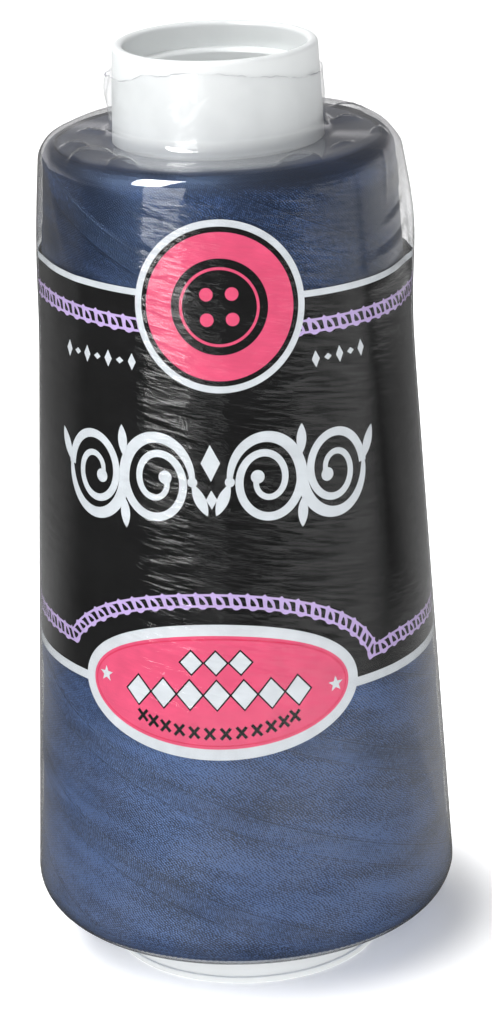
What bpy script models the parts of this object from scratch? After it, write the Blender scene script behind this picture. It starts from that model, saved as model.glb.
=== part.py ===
"""A cone of sewing thread in its printed sleeve, standing on the foot of its tube.

Three solids, in metres, +Z up, origin at the centre of the foot on the resting surface:
  core          the moulded plastic tube, tapered, open from end to end
  thread        the wound package, with its main crossing winding bands
  label_sleeve  the shrunk film that the label is printed on, from under the package to the neck

Angles run round the cone in degrees: 0 is the front (-Y), and they grow towards +X.
"""

import math
from collections import namedtuple

import bmesh
import bpy
from mathutils import Vector

MM = 0.001

# The tube
HEIGHT = 120.0 * MM
CORE_TOP_RADIUS = 12.66 * MM
CORE_FOOT_RADIUS = 17.5 * MM
CORE_WALL = 1.35 * MM
RIM_ROUND = 0.45 * MM
LEDGE_DEPTH = 3.2 * MM
LEDGE_STEP = 0.8 * MM
LEDGE_SLOPE = 0.5 * MM
FOOT_LIP_HEIGHT = 0.9 * MM
FOOT_LIP_STEP = 0.2 * MM

# The wound package
PACKAGE_BOTTOM = 6.7 * MM
PACKAGE_TOP = 107.6 * MM
PACKAGE_FOOT_RADIUS = 26.2 * MM
PACKAGE_SHOULDER_RADIUS = 21.1 * MM
PACKAGE_LOWER_ROUND = 4.0 * MM
PACKAGE_UPPER_ROUND = 0.9 * MM
BAND_STARTS = 5
BAND_RISE_PER_TURN = 66.0 * MM
BAND_RELIEF = 0.3 * MM

# The sleeve
FILM_THICKNESS = 0.6 * MM
GAP = 0.3 * MM
TUCK_WIDTH = 2.6 * MM
TUCK_UNEVENNESS = 0.5 * MM
TUCK_WAVES = 5
COVE_RADIUS = 1.6 * MM
NECK_EDGE_HEIGHT = 116.4 * MM
NECK_EDGE_CREST = 2.3 * MM
NECK_EDGE_CREST_ANGLE = -10.0
NECK_EDGE_CREST_SPREAD = 38.0
NECK_EDGE_TOOTH = 0.25 * MM
NECK_EDGE_TEETH = 13

# How finely the turned shapes are cut
COLUMNS = 64
PACKAGE_ROWS = 32
SLEEVE_ROWS = 15
SHOULDER_ROWS = 7
NECK_ROWS = 5
LOWER_ROUND_STEPS = 4
SMALL_ROUND_STEPS = 3

# Puckers and creases where the film stands off: the place of the middle of each, its slant from
# the way up the surface, its half length and half width along the surface, and how far it stands off.
Pucker = namedtuple("Pucker", "angle radius height slant length width rise")
PUCKERS = [
    Pucker(-70, 21.0, 108.7, 60, 3.2, 1.1, 0.8),
    Pucker(-52, 20.2, 108.7, 75, 3.6, 1.2, 1.0),
    Pucker(-36, 19.6, 108.7, 80, 3.4, 1.1, 0.8),
    Pucker(-14, 20.8, 108.7, 88, 2.8, 1.0, 0.5),
    Pucker(14, 20.2, 108.7, 85, 3.0, 1.0, 0.6),
    Pucker(29, 20.4, 108.7, 70, 3.6, 1.1, 0.9),
    Pucker(52, 19.4, 108.7, 55, 2.8, 1.0, 0.7),
    Pucker(66, 18.4, 108.7, 35, 2.6, 1.0, 0.9),
    Pucker(78, 20.2, 108.7, 70, 2.6, 1.3, 1.0),
    Pucker(100, 21.4, 108.7, 80, 3.4, 1.1, 1.1),
    Pucker(121, 20.6, 108.7, 65, 3.2, 1.2, 0.9),
    Pucker(139, 21.2, 108.7, 85, 3.6, 1.0, 1.4),
    Pucker(160, 20.6, 108.7, 75, 3.4, 1.1, 0.8),
    Pucker(184, 20.9, 108.7, 85, 3.8, 1.1, 0.9),
    Pucker(208, 20.2, 108.7, 70, 3.2, 1.2, 0.8),
    Pucker(232, 21.0, 108.7, 80, 3.4, 1.0, 1.1),
    Pucker(255, 20.4, 108.7, 60, 3.2, 1.2, 0.9),
    Pucker(276, 21.2, 108.7, 80, 3.0, 1.0, 0.8),
    Pucker(62, 22.5, 104.0, 4, 6.0, 1.3, 0.5),
    Pucker(48, 22.7, 100.0, 38, 8.0, 1.3, 0.5),
    Pucker(66, 23.0, 95.0, 32, 8.0, 1.4, 0.5),
    Pucker(89, 22.9, 98.0, 6, 7.5, 3.2, 1.0),
    Pucker(-84, 23.0, 96.0, -8, 10.0, 2.6, 0.6),
    Pucker(150, 23.6, 84.0, 12, 16.0, 1.8, 0.5),
    Pucker(206, 23.2, 90.0, -16, 14.0, 1.8, 0.5),
    Pucker(181, 25.0, 55.0, 0, 30.0, 1.6, 0.4),
    Pucker(-88, 13.4, 114.4, 10, 2.2, 2.4, 0.9),
    Pucker(76, 13.4, 114.0, -20, 2.4, 2.0, 0.5),
    Pucker(142, 13.4, 114.6, 15, 2.0, 2.2, 0.7),
    Pucker(200, 13.4, 113.6, -10, 2.4, 2.2, 0.6),
]


# ---- places on the cone ----

def core_radius(z):
    """The tube's outer radius at a height: one straight taper from foot to rim."""
    return CORE_FOOT_RADIUS + (CORE_TOP_RADIUS - CORE_FOOT_RADIUS) * z / HEIGHT


def package_radius(z):
    """The radius of the package's straight side at a height, carried on past its rounds."""
    low = PACKAGE_BOTTOM + PACKAGE_LOWER_ROUND
    high = PACKAGE_TOP - PACKAGE_UPPER_ROUND
    share = (z - low) / (high - low)
    return PACKAGE_FOOT_RADIUS + (PACKAGE_SHOULDER_RADIUS - PACKAGE_FOOT_RADIUS) * share


def on_cone(angle, radius, z):
    turn = math.radians(angle)
    return Vector((radius * math.sin(turn), -radius * math.cos(turn), z))


def angle_of(point):
    return math.degrees(math.atan2(point.x, -point.y))


def arc(centre_r, centre_z, radius_r, radius_z, start, end, steps):
    """Points (r, z) on a quarter round, angles in degrees from +r towards +z, both ends included."""
    turns = [math.radians(start + (end - start) * i / steps) for i in range(steps + 1)]
    return [(centre_r + radius_r * math.cos(t), centre_z + radius_z * math.sin(t)) for t in turns]


def spread(start, end, steps):
    """Evenly spaced values between two ends, both left out."""
    return [start + (end - start) * i / steps for i in range(1, steps)]


# ---- making and finishing a piece ----

def turned(section, closed):
    """A bmesh of the (r, z) section spun once round the Z axis."""
    bm = bmesh.new()
    points = [bm.verts.new((0.0, -r, z)) for r, z in section]
    pairs = list(zip(points, points[1:]))
    if closed:
        pairs.append((points[-1], points[0]))
    edges = [bm.edges.new(pair) for pair in pairs]
    bmesh.ops.spin(
        bm,
        geom=points + edges,
        cent=(0, 0, 0),
        axis=(0, 0, 1),
        angle=math.tau,
        steps=COLUMNS,
        use_merge=True,
    )
    bmesh.ops.remove_doubles(bm, verts=bm.verts, dist=0.001 * MM)
    bmesh.ops.recalc_face_normals(bm, faces=bm.faces)
    bm.normal_update()
    return bm


def face_outwards(bm):
    """Turns an open turned sheet so that its widest faces look away from the axis."""
    widest = max(bm.faces, key=lambda f: f.calc_center_median().xy.length)
    if widest.normal.xy.dot(widest.calc_center_median().xy) < 0:
        bmesh.ops.reverse_faces(bm, faces=bm.faces)
    bm.normal_update()


def finish(name, bm, material, sharp_angle):
    mesh = bpy.data.meshes.new(name)
    bm.to_mesh(mesh)
    bm.free()
    mesh.shade_smooth()
    mesh.set_sharp_from_angle(angle=math.radians(sharp_angle))
    piece = bpy.data.objects.new(name, mesh)
    bpy.context.scene.collection.objects.link(piece)
    piece.data.materials.append(material)
    return piece


def plastic_or_thread(name, colour, roughness, alpha=1.0):
    material = bpy.data.materials.new(name)
    material.use_nodes = True
    shader = material.node_tree.nodes["Principled BSDF"]
    shader.inputs["Base Color"].default_value = (*colour, 1.0)
    shader.inputs["Roughness"].default_value = roughness
    shader.inputs["Metallic"].default_value = 0.0
    shader.inputs["Alpha"].default_value = alpha
    return material


# ---- the tube ----

def core_section():
    """The tube's wall: foot lip, outer taper, rounded rim, mouth, ledge and inner taper."""
    def bore(z):
        return core_radius(z) - CORE_WALL

    ledge_top = HEIGHT - LEDGE_DEPTH
    ledge_bottom = ledge_top - LEDGE_SLOPE
    lip = core_radius(0.0)
    above_lip = core_radius(FOOT_LIP_HEIGHT) - FOOT_LIP_STEP
    rim_z = HEIGHT - RIM_ROUND
    outer_rim = arc(core_radius(rim_z) - RIM_ROUND, rim_z, RIM_ROUND, RIM_ROUND, 0, 90, SMALL_ROUND_STEPS)
    inner_rim = arc(bore(rim_z) + RIM_ROUND, rim_z, RIM_ROUND, RIM_ROUND, 90, 180, SMALL_ROUND_STEPS)
    return [
        (bore(0.0) + FOOT_LIP_STEP, 0.0),
        (lip - RIM_ROUND, 0.0),
        (lip, RIM_ROUND),
        (lip, FOOT_LIP_HEIGHT - FOOT_LIP_STEP),
        (above_lip, FOOT_LIP_HEIGHT),
        *outer_rim,
        *inner_rim,
        (bore(ledge_top), ledge_top),
        (bore(ledge_bottom) - LEDGE_STEP, ledge_bottom),
        (bore(FOOT_LIP_HEIGHT), FOOT_LIP_HEIGHT),
    ]


def make_core():
    white = plastic_or_thread("core_white", (0.84, 0.86, 0.86), 0.38)
    return finish("core", turned(core_section(), closed=True), white, 35)


# ---- the wound package ----

def package_section():
    """The package's outline: bottom, lower round, straight side, shoulder and bore."""
    side_low = PACKAGE_BOTTOM + PACKAGE_LOWER_ROUND
    side_high = PACKAGE_TOP - PACKAGE_UPPER_ROUND
    lower = arc(
        PACKAGE_FOOT_RADIUS - PACKAGE_LOWER_ROUND, side_low,
        PACKAGE_LOWER_ROUND, PACKAGE_LOWER_ROUND, -90, 0, LOWER_ROUND_STEPS,
    )
    side = [(package_radius(z), z) for z in spread(side_low, side_high, PACKAGE_ROWS)]
    upper = arc(
        PACKAGE_SHOULDER_RADIUS - PACKAGE_UPPER_ROUND, side_high,
        PACKAGE_UPPER_ROUND, PACKAGE_UPPER_ROUND, 0, 90, SMALL_ROUND_STEPS,
    )
    bore_top = core_radius(PACKAGE_TOP) + GAP
    bore_bottom = core_radius(PACKAGE_BOTTOM) + GAP
    return [*lower, *side, *upper, (bore_top, PACKAGE_TOP), (bore_bottom, PACKAGE_BOTTOM)]


def band_height(angle, z):
    """How far the thread stands up where a band of turns crosses, wound alternately either way."""
    turn = math.radians(angle) * BAND_STARTS
    climb = math.tau * BAND_STARTS * z / BAND_RISE_PER_TURN
    right_hand = max(0.0, math.cos(turn + climb)) ** 2
    left_hand = max(0.0, math.cos(turn - climb)) ** 2
    return BAND_RELIEF * max(right_hand, left_hand)


def make_thread():
    bm = turned(package_section(), closed=True)
    side_low = PACKAGE_BOTTOM + PACKAGE_LOWER_ROUND
    side_high = PACKAGE_TOP - PACKAGE_UPPER_ROUND
    for vert in bm.verts:
        on_side = side_low < vert.co.z < side_high
        if on_side and vert.co.xy.length > package_radius(vert.co.z) - BAND_RELIEF:
            out = Vector((vert.co.x, vert.co.y, 0.0)).normalized()
            vert.co += out * band_height(angle_of(vert.co), vert.co.z)
    navy = plastic_or_thread("thread_navy", (0.026, 0.045, 0.127), 0.6)
    return finish("thread", bm, navy, 50)


# ---- the printed sleeve ----

def neck_edge(angle):
    """The height of the film's torn upper edge on the neck: a crest at the front and small teeth."""
    away = (angle - NECK_EDGE_CREST_ANGLE + 180.0) % 360.0 - 180.0
    crest = NECK_EDGE_CREST * math.exp(-((away / NECK_EDGE_CREST_SPREAD) ** 2))
    teeth = NECK_EDGE_TOOTH * math.sin(math.radians(angle) * NECK_EDGE_TEETH)
    return NECK_EDGE_HEIGHT + crest + teeth


def sleeve_section():
    """The film's outer face: tucked edge, lower round, side, shoulder, cove and neck, level all round."""
    stand_off = BAND_RELIEF + GAP + FILM_THICKNESS
    close_off = GAP + FILM_THICKNESS
    bottom = PACKAGE_BOTTOM - close_off
    top = PACKAGE_TOP + close_off + BAND_RELIEF
    side_low = PACKAGE_BOTTOM + PACKAGE_LOWER_ROUND
    side_high = PACKAGE_TOP - PACKAGE_UPPER_ROUND
    round_centre = PACKAGE_FOOT_RADIUS - PACKAGE_LOWER_ROUND
    lower = arc(
        round_centre, side_low,
        PACKAGE_LOWER_ROUND + stand_off, side_low - bottom, -90, 0, LOWER_ROUND_STEPS,
    )
    side = [(package_radius(z) + stand_off, z) for z in spread(side_low, side_high, SLEEVE_ROWS)]
    upper = arc(
        PACKAGE_SHOULDER_RADIUS - PACKAGE_UPPER_ROUND, side_high,
        PACKAGE_UPPER_ROUND + stand_off, top - side_high, 0, 90, SMALL_ROUND_STEPS,
    )
    cove_top = top + COVE_RADIUS
    neck_radius = core_radius(cove_top) + close_off
    cove_centre = neck_radius + COVE_RADIUS
    shoulder = [(r, top) for r in spread(upper[-1][0], cove_centre, SHOULDER_ROWS)]
    cove = arc(cove_centre, cove_top, COVE_RADIUS, COVE_RADIUS, 270, 180, SMALL_ROUND_STEPS)
    neck = [
        (core_radius(z) + close_off, z)
        for z in [*spread(cove_top, NECK_EDGE_HEIGHT, NECK_ROWS), NECK_EDGE_HEIGHT]
    ]
    tuck = [(round_centre - TUCK_WIDTH, bottom), (round_centre - TUCK_WIDTH / 2, bottom)]
    return [*tuck, *lower, *side, *upper, *shoulder, *cove, *neck], cove_top, bottom


def pucker_axes(pucker):
    """The middle of a pucker, the way it runs and the way across it, on the surface it lies on."""
    middle = on_cone(pucker.angle, pucker.radius * MM, pucker.height * MM)
    around = Vector((-middle.y, middle.x, 0.0)).normalized()
    on_shoulder = abs(middle.z - PACKAGE_TOP) < 2 * MM
    up_surface = around.cross(Vector((0, 0, 1))) * -1.0 if on_shoulder else Vector((0, 0, 1))
    slant = math.radians(pucker.slant)
    along = up_surface * math.cos(slant) + around * math.sin(slant)
    across = around * math.cos(slant) - up_surface * math.sin(slant)
    return middle, along, across


def pucker_height(point, pucker, axes):
    """How far one pucker lifts the film at a point: a soft ridge, highest in its middle."""
    middle, along, across = axes
    offset = point - middle
    if offset.length > (pucker.length + pucker.width) * 2.5 * MM:
        return 0.0
    u = offset.dot(along) / (pucker.length * MM)
    v = offset.dot(across) / (pucker.width * MM)
    return pucker.rise * MM * math.exp(-u * u - v * v)


def make_label_sleeve():
    section, cove_top, bottom = sleeve_section()
    bm = turned(section, closed=False)
    face_outwards(bm)
    rows = [(pucker, pucker_axes(pucker)) for pucker in PUCKERS]
    lifts = {
        vert: vert.normal * max(pucker_height(vert.co, pucker, axes) for pucker, axes in rows)
        for vert in bm.verts
    }
    tuck_edge = min(r for r, z in section if z == bottom)
    for vert in bm.verts:
        angle = angle_of(vert.co)
        if vert.co.z > cove_top:
            share = (vert.co.z - cove_top) / (NECK_EDGE_HEIGHT - cove_top)
            z = cove_top + share * (neck_edge(angle) - cove_top)
            vert.co = on_cone(angle, core_radius(z) + GAP + FILM_THICKNESS, z)
        elif vert.co.z < bottom + MM and vert.co.xy.length < tuck_edge + TUCK_UNEVENNESS:
            wave = math.sin(math.radians(angle) * TUCK_WAVES) * TUCK_UNEVENNESS
            vert.co = on_cone(angle, tuck_edge + wave, vert.co.z)
        vert.co += lifts[vert]
    film = plastic_or_thread("film_printed", (0.03, 0.03, 0.04), 0.15, alpha=0.45)
    sleeve = finish("label_sleeve", bm, film, 60)
    wall = sleeve.modifiers.new("film_wall", "SOLIDIFY")
    wall.thickness = FILM_THICKNESS
    wall.offset = -1.0
    wall.use_even_offset = True
    return sleeve


def main():
    for old in list(bpy.data.objects):
        bpy.data.objects.remove(old)
    make_core()
    make_thread()
    make_label_sleeve()


main()
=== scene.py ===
"""The looks of a cone of sewing thread in its printed film, standing on a pale floor.

Sizes are in metres, built from millimetres by MM. Angles run round the cone in degrees: 0 is the
front (-Y), and they grow towards +X. "Depth" is how far a layer lies below the film's outer face.
"""

import bisect
import math
import random

import bmesh
import bpy
from mathutils import Matrix, Vector


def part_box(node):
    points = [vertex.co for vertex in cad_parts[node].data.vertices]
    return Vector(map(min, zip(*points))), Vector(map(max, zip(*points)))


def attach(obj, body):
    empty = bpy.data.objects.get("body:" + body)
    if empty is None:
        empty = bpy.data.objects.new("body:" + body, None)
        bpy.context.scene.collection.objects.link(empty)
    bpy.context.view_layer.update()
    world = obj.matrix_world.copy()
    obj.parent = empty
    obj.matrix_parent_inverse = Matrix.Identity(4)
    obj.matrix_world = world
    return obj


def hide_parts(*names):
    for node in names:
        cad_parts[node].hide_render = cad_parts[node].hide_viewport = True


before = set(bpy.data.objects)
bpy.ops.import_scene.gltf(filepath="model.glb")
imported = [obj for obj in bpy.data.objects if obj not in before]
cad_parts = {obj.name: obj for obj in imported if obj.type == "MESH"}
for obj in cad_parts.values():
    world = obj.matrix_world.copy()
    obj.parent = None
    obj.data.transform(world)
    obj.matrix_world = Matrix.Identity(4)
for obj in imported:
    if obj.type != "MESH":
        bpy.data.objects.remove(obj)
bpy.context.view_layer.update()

MM = 0.001

# The tube
TUBE_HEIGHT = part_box("core")[1].z
RIM_RADIUS = 12.66 * MM
FOOT_RADIUS = 17.5 * MM
WALL = 1.35 * MM
RIM_ROUND = 0.62 * MM
LEDGE_DEPTH = 3.2 * MM
LEDGE_SLOPE = 0.5 * MM
LEDGE_STEP = 0.8 * MM
FOOT_LIP_HEIGHT = 0.9 * MM
FOOT_LIP_STEP = 0.2 * MM
TUBE_COLUMNS = 180

# The film: its outer face, from the tucked edge under the package to the torn edge on the neck
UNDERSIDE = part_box("label_sleeve")[0].z
SIDE_LOW = 10.7 * MM
SIDE_LOW_RADIUS = 27.4 * MM
SIDE_HIGH = 106.7 * MM
SIDE_HIGH_RADIUS = 22.3 * MM
SHOULDER = 108.8 * MM
LOWER_ROUND = 5.2 * MM
UPPER_ROUND = 2.8 * MM
TUCK = 2.6 * MM
COVE = 1.5 * MM
NECK_CLING = 0.3 * MM
COVE_TOP = SHOULDER + COVE
SIDE_TOP = SHOULDER - UPPER_ROUND
FILM = 0.06 * MM
# Its columns crowd towards the front by so many degrees, and its rows are finer above a height
FILM_COLUMNS = 320
FILM_CROWDING = 28.0
FINE_ROWS = 86 * MM
# How much it mirrors head on, and the power by which that grows towards its edges
FILM_HEAD_ON = 0.04
FILM_EDGE_POWER = 4.0
FILM_RIPPLE = 0.16 * MM
# Streaks in a finish: how far they lean in degrees, how long they are and how high
FINE_STREAKS = (13.0, 4.2 * MM, 0.42 * MM)
BROAD_STREAKS = (12.0, 4.5 * MM, 1.3 * MM)
# Where the film is drawn tight, above, to the sides and below, and where it is dull
TIGHT_ABOVE = (104.5 * MM, 107.5 * MM)
TIGHT_ASIDE = (11 * MM, 19 * MM)
TIGHT_BELOW = (34 * MM, 46 * MM)
DULL_ABOVE = (109.5 * MM, 111 * MM)
NECK_DULLNESS = 0.65
NECK_HAZE = 0.07
SHOULDER_HAZE = 0.03
SIDE_HAZE = 0.003
# Lower down the side it is milkier: between which heights, and by how much
LOW_HAZE = (30 * MM, 48 * MM, 0.018)

# The neck's torn film edge
EDGE_HEIGHT = 116.4 * MM
# Where it rises: the middle and the spread in degrees, and by how much in mm
EDGE_RISES = [(-10.0, 38.0, 2.3), (-41.0, 7.0, 0.55), (33.0, 18.0, 0.5)]

# The wound thread under the film
UNDER_FILM = 0.34 * MM
BAND_STARTS = 5
RISE_PER_TURN = 66.0 * MM
BAND_RELIEF = 0.3 * MM
# The heights between which the single turns show through the clear film
LOWER_TURNS = (7.5 * MM, 45.5 * MM)
UPPER_TURNS = (92.0 * MM, 109.3 * MM)
THREAD_PITCH = 0.3 * MM
THREAD_RIDGE = 0.11 * MM
THREAD_STEP = 2.0 * MM
THREAD_LAP = 2.1
MEAN_RADIUS = 25 * MM
BORE_GAP = 0.05 * MM
# The yarn's twist: its length along a turn in mm, its slant, how far it wanders, and how strongly it is
# painted into the colour, as a painted glint on each turn of the twist and painted shade between the turns
TWIST = 0.34
TWIST_SLANT = 1.5
TWIST_WANDER = 5.0
PAINTED_GLINT_AND_SHADE = 0.10
THREAD_UNEVEN = 0.42
THREAD_STREAKS = (16.0, 16 * MM, 3.4 * MM)
# The thread's colours, from its gaps, darkened by painted shade, to its lightest fibres
THREAD_COLOURS = [
    (0.138, (0.002, 0.004, 0.011)),
    (0.318, (0.012, 0.022, 0.058)),
    (0.468, (0.072, 0.134, 0.31)),
]
# How much darker the turns are painted above a height: from, to, and by how much. The lowest step is a change
# of tone in the winding; the two higher ones are painted shade, on the upper side and under the shoulder's
# round
TURN_TONE_AND_PAINTED_SHADE = [
    (25.4 * MM, 26.1 * MM, 0.022),
    (60.0 * MM, 92.0 * MM, 0.13),
    (105.8 * MM, 107.4 * MM, 0.10),
]
PACKAGE_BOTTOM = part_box("thread")[0].z
PACKAGE_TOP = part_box("thread")[1].z

# The print, from the outermost layer of ink to the innermost
INK = 0.016 * MM
INK_UNEVEN = 0.06
LAYER = 0.026 * MM
DEPTH_MARK = FILM + 0.5 * LAYER
DEPTH_FIELD = DEPTH_MARK + LAYER
DEPTH_LINE = DEPTH_FIELD + LAYER
DEPTH_RING = DEPTH_LINE + LAYER
DEPTH_WHITE = DEPTH_RING + LAYER
DEPTH_WINDOW = DEPTH_WHITE + LAYER
DEPTH_STITCH = DEPTH_WINDOW + LAYER
DEPTH_BAND = DEPTH_STITCH + LAYER
CUT = 1.1 * MM

BAND_LOW = 43.3 * MM
BAND_LOW_LEAN = 0.6 * MM
BAND_LOW_LINE = 1.15 * MM
BAND_HIGH = 93.6 * MM
BAND_HIGH_LEAN = 1.0 * MM
BAND_HIGH_LINE = 0.8 * MM
BAND_ROWS = 34

BADGE_ANGLE = -1.7
BADGE_HEIGHT = 92.6 * MM
BADGE_WHITE = 10.6 * MM
BADGE_BLACK = 9.75 * MM
BADGE_PINK = 9.1 * MM
BUTTON = 5.9 * MM
BUTTON_GROOVE = 4.7 * MM
BUTTON_GROOVE_WIDTH = 0.34 * MM
BUTTON_HOLE = 0.82 * MM
BUTTON_HOLE_OUT = 1.55 * MM

PLAQUE_ANGLE = -6.4
PLAQUE_HEIGHT = 44.0 * MM
PLAQUE_WHITE = (18.65 * MM, 8.85 * MM)
PLAQUE_PINK = (17.2 * MM, 7.4 * MM)
PLAQUE_LINE = (16.85 * MM, 7.05 * MM)
PLAQUE_FIELD = (16.65 * MM, 6.85 * MM)
# Its marks, in mm from its middle. Lozenges: the left one's x, the step, how many, y, half width and height
LOZENGE_ROWS = [
    (-10.2, 3.4, 7, -0.3, 1.55, 1.85),
    (-3.1, 3.1, 3, 3.9, 1.35, 1.45),
]
LOZENGE_EDGE = 0.28
STARS = [(-15.1, 0.85), (15.25, -0.45)]
STAR_REACH = 1.05
STAR_WAIST = 0.42
# Crosses: how many, the first one's place round the oval and the step in degrees, and the oval's half sizes
CROSSES = (12, 222.0, 8.7, 13.0, 5.35)
CROSS_LENGTH = 1.9 * MM
CROSS_WIDTH = 0.4 * MM

SCROLL_ANGLE = -6.0
SCROLL_HEIGHT = 70.9 * MM
SCROLL_START = 2.3 * MM
SCROLL_HALF_WIDTH = 4.55 * MM
SCROLL_HALF_HEIGHT = 5.4 * MM
SCROLLS = 2
CURL_TURN = 560.0
CURL_TIP = 0.85 * MM
# The scrollwork's leaves: height of the place in mm, lean in degrees, length and width in mm
NODE_LEAVES = [(2.6, 4, 3.9, 1.3), (-2.6, 184, 3.9, 1.3)]
END_LEAF = (0.2, 24, 4.4, 1.4)
MIDDLE_LEAF = (-0.2, -156, 4.4, 1.4)
MIDDLE_DOT = 0.62 * MM
# The lozenges in its middle: the place's height, the half width and the half height in mm
MIDDLE_LOZENGES = [(2.4, 1.2, 2.3), (-2.2, 0.7, 1.2)]

# Rows of small marks: name, angle of the middle, height and how many
SMALL_ROWS = [
    ("left_row", -42.5, 85.4 * MM, 7),
    ("right_row", 36.0, 85.0 * MM, 5),
]
SMALL_STEP = 1.75 * MM
SMALL_HALF_WIDTH = 0.55 * MM
SMALL_HALF_HEIGHTS = (1.05 * MM, 0.42 * MM)

STITCH_PITCH = 2.15 * MM
STITCH_HALF = 0.86 * MM
STITCH_COLUMNS = 14
POINT_PLACE = 0.86
POINT_RISE = 0.26 * MM
SCALLOP_PLACE = 0.25
SCALLOP_DROP = 0.27 * MM
UPPER_BORDER = 89.6 * MM
LOWER_BORDER = 47.6 * MM
BORDER_LEAN = 1.0 * MM
ARCH_HALF_WIDTH = 22.5 * MM
ARCH_HALF_HEIGHT = 12.5 * MM
ARCH_HEIGHT = 43.4 * MM
ARCH_ANGLE = -7.6
ARCH_CORNERS = (-54.3, 41.7)
CORNER_SPREAD = 7.0
MITRE_REACH = 1.3 * MM

# The gaps of a border, as shares of a stitch along it and millimetres across it
SMALL_WINDOW = [
    (0.04, 0.40), (0.06, -0.26), (0.13, -0.50), (0.36, -0.52), (0.43, -0.38), (0.29, 0.02), (0.12, 0.40),
]
LARGE_WINDOW = [
    (0.32, 0.56), (0.69, 0.57), (0.75, 0.42), (0.86, -0.56), (0.62, -0.57), (0.54, -0.10), (0.44, 0.32),
]

# The floor and the room: how bright they are to the eye, in the film's mirror and as light
FLOOR_GLOW = 0.12
# Glow added to the floor away from the cone's foot; held back round a middle near the foot, it leaves a
# painted shadow there
FLOOR_FAR_GLOW = 0.62
PAINTED_SHADOW_MIDDLE = (5.0 * MM, 8.0 * MM, 0.0)
# The glow painted on the floor for the film's mirror: a pool of light in front, a dim floor elsewhere, paler
# behind the cone
PAINTED_POOL_GLOW = 0.43
FLOOR_DIM = 0.04
FLOOR_BEHIND = (0.34, 0.14)
FLOOR_FAR_BEHIND = 0.50
HORIZON_BEHIND = 0.5
FLOOR_BOUNCE = 1.3
# Where the painted pool of light on the mirrored floor goes from dark to bright, in metres: across it, on a
# slant or away from the cone, which leaves a painted shadow close round the foot
LIT_RIGHT = (0.0, 0.08)
LIT_LEFT = (-0.10, -0.03)
LIT_LEFT_SLANT = (-0.26, -0.18)
LIT_RIGHT_SLANT = (0.0, -0.12)
CLEAR_OF_PAINTED_SHADOW = (0.022, 0.06)
LIT_CLOSE = (0.22, 0.12)
FALLING_BEHIND = (0.05, 0.3)
RISING_FAR = (0.33, 0.48)
RISING_RIGHT = (0.0, 0.12)
STARTS_BEHIND = (0.01, 0.11)
# The pale band low in the room, as shares of the way up and of the way back
HORIZON_FADES = (0.06, 0.28)
HORIZON_STARTS = (0.0, 0.4)
ROOM_MIRRORED = 0.23
ROOM_LIGHT = 0.14


# ---- places on the cone ----

def tube_radius(z):
    """The tube's outer radius at a height."""
    return FOOT_RADIUS + (RIM_RADIUS - FOOT_RADIUS) * z / TUBE_HEIGHT


def side_radius(z):
    """The film's outer radius at a height on the straight side, carried on past its ends."""
    share = (z - SIDE_LOW) / (SIDE_HIGH - SIDE_LOW)
    return SIDE_LOW_RADIUS + (SIDE_HIGH_RADIUS - SIDE_LOW_RADIUS) * share


def on_cone(angle, radius, z):
    turn = math.radians(angle)
    return Vector((radius * math.sin(turn), -radius * math.cos(turn), z))


def angle_of(point):
    return math.degrees(math.atan2(point.x, -point.y))


def arc(centre_r, centre_z, radius_r, radius_z, start, end, steps):
    """Points (r, z) on a round, angles in degrees from +r towards +z, both ends included."""
    turns = [math.radians(start + (end - start) * i / steps) for i in range(steps + 1)]
    return [(centre_r + radius_r * math.cos(t), centre_z + radius_z * math.sin(t)) for t in turns]


def between(start, end, steps):
    """Evenly spaced values between two ends, both left out."""
    return [start + (end - start) * i / steps for i in range(1, steps)]


def soft_step(low, high, value):
    """0 below the low end and 1 above the high one, with a soft rise between them."""
    share = min(1.0, max(0.0, (value - low) / (high - low)))
    return share * share * (3.0 - 2.0 * share)


def turned_away(angle, other):
    """How far one angle is from another, from -180 to 180."""
    return (angle - other + 180.0) % 360.0 - 180.0


def near(angle, middle, spread):
    """1 at the middle, and softly down to 0 away from it."""
    return math.exp(-((turned_away(angle, middle) / spread) ** 2))


# ---- how the film stands off ----

# Creases: the middle of each (degrees, mm), its slant from upright in degrees, half length and
# half width in mm, and how far it stands off in mm. These are the side's.
SIDE_CREASES = [
    (64, 105.0, 6, 3.4, 0.45, 0.12),
    (70, 100.6, 80, 3.0, 0.80, 0.24),
    (68, 97.2, 82, 4.6, 0.75, 0.24),
    (57, 93.4, 82, 5.6, 0.85, 0.10),
    (74, 89.0, 76, 4.0, 0.80, 0.08),
    (87, 97.5, 3, 9.0, 2.6, 1.15),
    (96, 90.0, 3, 10.0, 1.6, 0.40),
    (-84, 96.0, -8, 10.0, 2.6, 0.40),
    (-60, 100.0, -30, 7.0, 1.0, 0.16),
    (150, 84.0, 12, 16.0, 1.8, 0.45),
    (206, 90.0, -16, 14.0, 1.8, 0.45),
    (181, 55.0, 0, 30.0, 1.6, 0.35),
    (-58, 26.0, 40, 9.0, 0.9, 0.10),
    (-52, 17.0, 55, 9.0, 0.9, 0.10),
    (60, 30.0, -20, 12.0, 1.0, 0.10),
    (70, 20.0, -30, 12.0, 1.2, 0.12),
    (215, 30.0, 30, 12.0, 1.2, 0.20),
    (140, 26.0, -30, 12.0, 1.2, 0.20),
]
CREASE_REACH = 60.0


def creased(creases, angle, z, radius):
    """How far the creases lift the film at a place, in millimetres."""
    lift = 0.0
    for middle, up, slant, length, width, rise in creases:
        across = turned_away(angle, middle)
        if abs(across) > CREASE_REACH:
            continue
        u = z / MM - up
        v = math.radians(across) * radius / MM
        lean = math.radians(slant)
        along = (u * math.cos(lean) + v * math.sin(lean)) / length
        aside = (v * math.cos(lean) - u * math.sin(lean)) / width
        lift += rise * math.exp(-along * along - aside * aside)
    return lift


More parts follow.
